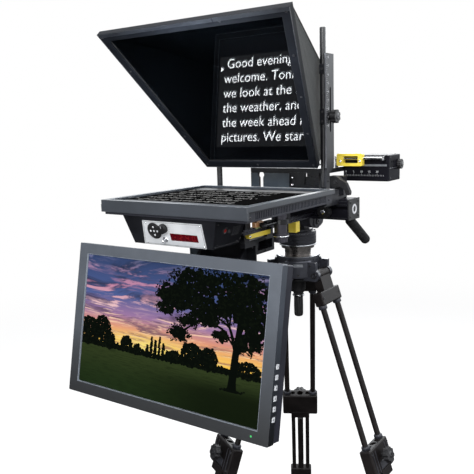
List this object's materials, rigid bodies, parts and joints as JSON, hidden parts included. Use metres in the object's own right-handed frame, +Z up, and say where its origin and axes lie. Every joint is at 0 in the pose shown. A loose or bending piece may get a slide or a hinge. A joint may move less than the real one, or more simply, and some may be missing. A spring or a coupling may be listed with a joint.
{
  "type": "teleprompter",
  "caption": "Camera-mount teleprompter: upward-facing prompter monitor under a hooded beam-splitter glass, hanging talent monitor, sliding carriage, fluid head and tripod.",
  "frame": {"origin": "axis of the camera screw at the top of the camera plate", "axes": "+Z up, +X to the presenter's-view right, -Y towards the presenter"},
  "size_m": [0.7498, 1.0294, 1.738],
  "materials": {
    "cast_black": "satin crackle over a casting",
    "black_anodised": "satin black anodised aluminium",
    "black_steel": "semi-gloss black steel tube",
    "leg_black": "satin black tube and castings",
    "aluminium": "satin extrusion",
    "steel": "turned steel",
    "chrome": "polished",
    "yellow_anodised": "satin yellow",
    "monitor_grey": "fine-textured blue-grey powder coat",
    "monitor_dark": "fine-textured dark powder coat",
    "screen_black": "anti-glare display face",
    "circuit_board": "fibreglass board with components",
    "vial_red": "moulded",
    "white_panel": "satin white",
    "red_window": "tinted window",
    "key_white": "moulded keys",
    "black_plastic": "fine-grained moulding",
    "foam_rubber": "closed-cell foam grip",
    "glass": "part-mirrored",
    "hood_cloth": "black lined hood cloth"
  },
  "bodies": {
    "tripod": {"crown_casting": "cast_black", "half_ball_neck": "black_anodised"},
    "tie_down": {"tie_down_handle": "black_plastic"},
    "head_pan": {"pan_drum": "cast_black"},
    "carriage": {"tilt_housing": "cast_black", "base_plate": "black_anodised", "cross_beam": "black_anodised", "beam_end_caps": "black_plastic", "carriage_rails": "aluminium", "rod_blocks": "black_anodised", "hood_rods": "black_steel", "hood_upright": "black_anodised", "rear_bracket": "black_anodised", "camera_plate": "black_anodised", "side_box": "black_anodised", "slide_rod": "steel", "rail_stop_block": "yellow_anodised"},
    "pan_bar": {"pan_bar": "black_steel", "pan_bar_grip": "foam_rubber"},
    "pan_bar_knob": {"pan_bar_knob": "black_plastic"},
    "beam_knob": {"beam_clamp_knob": "black_plastic"},
    "bracket_lever": {"bracket_clamp_lever": "black_plastic"},
    "camera_screw": {"camera_screw": "steel"},
    "slide_lock": {"slide_lock_frame": "yellow_anodised"},
    "slide_knob": {"side_box_knob": "black_plastic"},
    "prompter": {"pm_saddle": "black_anodised", "pm_posts": "black_steel", "pm_housing": "monitor_dark", "pm_bezel": "monitor_grey", "pm_screen": "screen_black", "pm_board": "circuit_board", "level_vial": "vial_red", "control_housing": "black_anodised", "control_panel": "white_panel", "display_window": "red_window"},
    "post_lever": {"post_clamp_lever": "chrome"},
    "nav_pad": {"nav_pad": "black_plastic"},
    "speed_knob": {"speed_knob": "black_plastic"},
    "toggle": {"toggle_switch": "chrome"},
    "hanger": {"tm_hanger": "black_anodised"},
    "cam_lever": {"hanger_cam_lever": "yellow_anodised"},
    "talent_monitor": {"tm_vesa_plate": "black_anodised", "tm_back_cover": "monitor_dark", "tm_bezel": "monitor_grey", "tm_screen": "screen_black"},
    "tm_keys": {"tm_key_strip": "key_white"},
    "hood": {"hood_frame": "black_anodised", "beam_splitter_glass": "glass", "hood_shell": "hood_cloth", "hood_rod_clamps": "black_anodised"},
    "hood_knob": {"hood_knob": "black_plastic"},
    "leg_right_upper": {"leg_right_upper_stage": "leg_black"},
    "leg_right_lower": {"leg_right_lower_stage": "leg_black"},
    "leg_right_knob": {"leg_right_clamp_knob": "black_plastic"},
    "leg_rear_upper": {"leg_rear_upper_stage": "leg_black"},
    "leg_rear_lower": {"leg_rear_lower_stage": "leg_black"},
    "leg_rear_knob": {"leg_rear_clamp_knob": "black_plastic"},
    "leg_left_upper": {"leg_left_upper_stage": "leg_black"},
    "leg_left_lower": {"leg_left_lower_stage": "leg_black"},
    "leg_left_knob": {"leg_left_clamp_knob": "black_plastic"}
  },
  "joints": [
    {"name": "pan", "type": "hinge", "parent": "tripod", "child": "head_pan", "pos_m": [0, -0.035, -0.196], "axis": [0, 0, 1], "continuous": true},
    {"name": "tilt", "type": "hinge", "parent": "head_pan", "child": "carriage", "pos_m": [0, -0.035, -0.15], "axis": [1, 0, 0], "range_deg": [-20, 15]},
    {"name": "tie_down_turn", "type": "hinge", "parent": "tripod", "child": "tie_down", "pos_m": [0, -0.035, -0.356], "axis": [0, 0, 1], "continuous": true},
    {"name": "leg_right_spread", "type": "hinge", "parent": "tripod", "child": "leg_right_upper", "pos_m": [0.072, -0.03575, -0.296], "axis": [0.0105, 0.9999, 0], "range_deg": [-20, 17]},
    {"name": "leg_right_extend", "type": "slide", "parent": "leg_right_upper", "child": "leg_right_lower", "axis": [0.3189, -0.0033, -0.9478], "range_m": [-0.24, 0.015]},
    {"name": "leg_right_knob_turn", "type": "hinge", "parent": "leg_right_upper", "child": "leg_right_knob", "pos_m": [0.26692, -0.0378, -0.78433], "axis": [0.9477, -0.0099, 0.319], "continuous": true},
    {"name": "leg_rear_spread", "type": "hinge", "parent": "tripod", "child": "leg_rear_upper", "pos_m": [-0.03535, 0.02773, -0.296], "axis": [-0.8712, -0.4909, 0], "range_deg": [-20, 17]},
    {"name": "leg_rear_extend", "type": "slide", "parent": "leg_rear_upper", "child": "leg_rear_lower", "axis": [-0.1566, 0.2779, -0.9478], "range_m": [-0.24, 0.015]},
    {"name": "leg_rear_knob_turn", "type": "hinge", "parent": "leg_rear_upper", "child": "leg_rear_knob", "pos_m": [-0.13104, 0.19756, -0.78433], "axis": [-0.4653, 0.8257, 0.319], "continuous": true},
    {"name": "leg_left_spread", "type": "hinge", "parent": "tripod", "child": "leg_left_upper", "pos_m": [-0.03665, -0.09697, -0.296], "axis": [0.8607, -0.509, 0], "range_deg": [-20, 17]},
    {"name": "leg_left_extend", "type": "slide", "parent": "leg_left_upper", "child": "leg_left_lower", "axis": [-0.1624, -0.2745, -0.9478], "range_m": [-0.24, 0.015]},
    {"name": "leg_left_knob_turn", "type": "hinge", "parent": "leg_left_upper", "child": "leg_left_knob", "pos_m": [-0.13588, -0.26477, -0.78433], "axis": [-0.4825, -0.8158, 0.319], "continuous": true},
    {"name": "pan_bar_swing", "type": "hinge", "parent": "carriage", "child": "pan_bar", "pos_m": [0.143, -0.033, -0.124], "axis": [1, 0, 0], "range_deg": [-35, 35]},
    {"name": "pan_bar_knob_turn", "type": "hinge", "parent": "pan_bar", "child": "pan_bar_knob", "pos_m": [0.16, -0.033, -0.124], "axis": [1, 0, 0], "continuous": true},
    {"name": "beam_knob_turn", "type": "hinge", "parent": "carriage", "child": "beam_knob", "pos_m": [0.134, -0.131, -0.108], "axis": [0, -1, 0], "continuous": true},
    {"name": "bracket_lever_turn", "type": "hinge", "parent": "carriage", "child": "bracket_lever", "pos_m": [0.152, -0.095, -0.034], "axis": [0, 1, 0], "range_deg": [-100, 10]},
    {"name": "camera_screw_turn", "type": "hinge", "parent": "carriage", "child": "camera_screw", "pos_m": [0, 0, -0.006], "axis": [0, 0, 1], "continuous": true},
    {"name": "slide_lock_travel", "type": "slide", "parent": "carriage", "child": "slide_lock", "axis": [1, 0, 0], "range_m": [0, 0.05]},
    {"name": "slide_knob_turn", "type": "hinge", "parent": "carriage", "child": "slide_knob", "pos_m": [0.2655, 0.051, 0.004], "axis": [1, 0, 0], "continuous": true},
    {"name": "prompter_slide", "type": "slide", "parent": "carriage", "child": "prompter", "axis": [0, 1, 0], "range_m": [-0.06, 0]},
    {"name": "post_lever_swing", "type": "hinge", "parent": "prompter", "child": "post_lever", "pos_m": [0.124, -0.335, -0.106], "axis": [0, 0, 1], "range_deg": [0, 80]},
    {"name": "nav_pad_press", "type": "slide", "parent": "prompter", "child": "nav_pad", "axis": [0, 0.9516, 0.3074], "range_m": [0, 0.001], "stiffness_N_per_m": 2000},
    {"name": "speed_knob_turn", "type": "hinge", "parent": "prompter", "child": "speed_knob", "pos_m": [-0.027, -0.57568, -0.09874], "axis": [0, -0.9516, -0.3074], "range_deg": [-140, 140]},
    {"name": "toggle_flip", "type": "hinge", "parent": "prompter", "child": "toggle", "pos_m": [-0.031, -0.56017, -0.123], "axis": [1, 0, 0], "range_deg": [-12, 12]},
    {"name": "hanger_slide", "type": "slide", "parent": "carriage", "child": "hanger", "axis": [0, 1, 0], "range_m": [0, 0.03]},
    {"name": "cam_lever_release", "type": "hinge", "parent": "hanger", "child": "cam_lever", "pos_m": [0.098, -0.431, -0.1288], "axis": [1, 0, 0], "range_deg": [-85, 0]},
    {"name": "tm_tilt", "type": "hinge", "parent": "hanger", "child": "talent_monitor", "pos_m": [-0.002, -0.53382, -0.33358], "axis": [1, 0, 0], "range_deg": [-8, 15]},
    {"name": "tm_key_press", "type": "slide", "parent": "talent_monitor", "child": "tm_keys", "axis": [-1, 0, 0], "range_m": [0, 0.001], "stiffness_N_per_m": 2000},
    {"name": "hood_height", "type": "slide", "parent": "carriage", "child": "hood", "axis": [0, 0, 1], "range_m": [-0.03, 0.06]},
    {"name": "hood_knob_turn", "type": "hinge", "parent": "hood", "child": "hood_knob", "pos_m": [0.1855, -0.173, 0.131], "axis": [1, 0, 0], "continuous": true}
  ]
}
